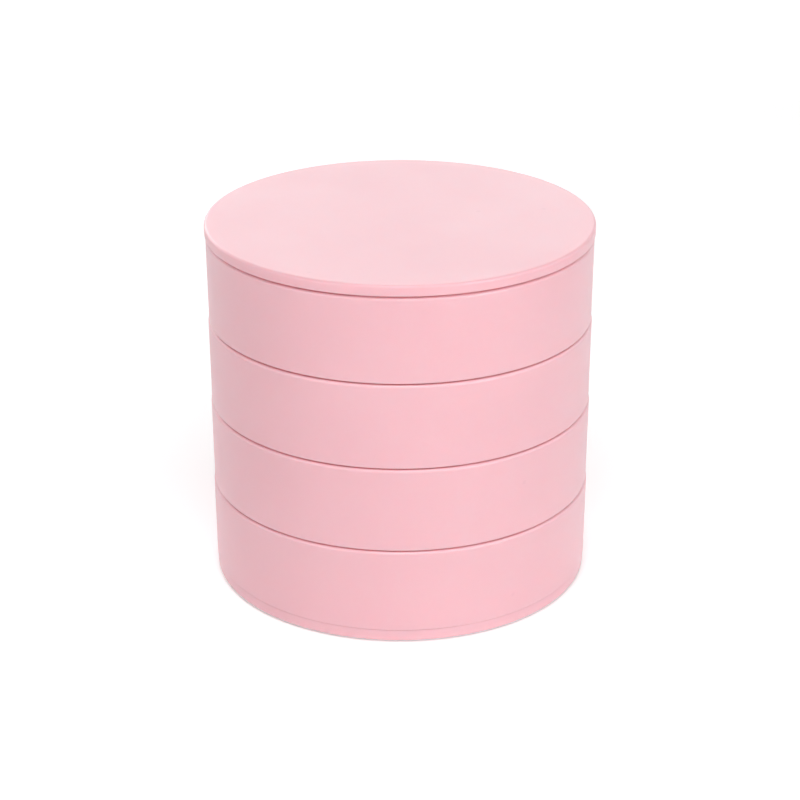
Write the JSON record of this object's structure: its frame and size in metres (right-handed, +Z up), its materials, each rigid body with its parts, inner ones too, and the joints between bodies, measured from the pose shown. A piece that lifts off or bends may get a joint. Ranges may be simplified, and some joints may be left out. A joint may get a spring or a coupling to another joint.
{
  "type": "swivel jewelry box",
  "caption": "Round jewelry box of stacked trays under a flat lid, each swinging out about one hidden upright pivot near the rim.",
  "frame": {"origin": "middle of the round footprint, on the surface that the foot pads stand on", "axes": "+Z up; +Y towards the back, where the pivot is; -Y is the front; +X is the right seen from the front"},
  "size_m": [0.105, 0.105, 0.101],
  "materials": {
    "pink_plastic": "satin moulded ABS",
    "ring_velvet": "short-pile velvet",
    "slip_nylon": "natural nylon",
    "steel": "zinc plated",
    "brass": "turned",
    "pad_rubber": "soft matt"
  },
  "bodies": {
    "base": {"bottom_tray": "pink_plastic", "base_cover": "pink_plastic", "base_cover_screws": "steel", "foot_pad_1": "pad_rubber", "foot_pad_2": "pad_rubber", "foot_pad_3": "pad_rubber", "foot_pad_4": "pad_rubber", "wave_spring": "steel", "bolt_washer": "steel", "spacer_4": "slip_nylon"},
    "tray_3": {"tray_3_shell": "pink_plastic", "bangle_tray_wide_divider": "pink_plastic", "bangle_tray_short_divider": "pink_plastic", "spacer_3": "slip_nylon"},
    "tray_2": {"tray_2_shell": "pink_plastic", "stud_tray_wide_divider": "pink_plastic", "stud_tray_left_divider": "pink_plastic", "stud_tray_right_divider": "pink_plastic", "spacer_2": "slip_nylon"},
    "tray_1": {"tray_1_shell": "pink_plastic", "ring_tray_wide_divider": "pink_plastic", "ring_tray_short_divider": "pink_plastic", "ring_roll_1": "ring_velvet", "ring_roll_2": "ring_velvet", "ring_roll_3": "ring_velvet", "ring_roll_4": "ring_velvet", "spacer_1": "slip_nylon"},
    "lid": {"lid_cover": "pink_plastic", "lid_insert": "brass", "pivot_bolt": "steel"}
  },
  "joints": [
    {"name": "lid_swing", "type": "hinge", "parent": "base", "child": "lid", "pos_m": [0, 0.044, 0.0981], "axis": [0, 0, 1], "continuous": true},
    {"name": "tray_1_swing", "type": "hinge", "parent": "base", "child": "tray_1", "pos_m": [0, 0.044, 0.0861], "axis": [0, 0, 1], "continuous": true},
    {"name": "tray_2_swing", "type": "hinge", "parent": "base", "child": "tray_2", "pos_m": [0, 0.044, 0.0625], "axis": [0, 0, 1], "continuous": true},
    {"name": "tray_3_swing", "type": "hinge", "parent": "base", "child": "tray_3", "pos_m": [0, 0.044, 0.039], "axis": [0, 0, 1], "continuous": true}
  ]
}
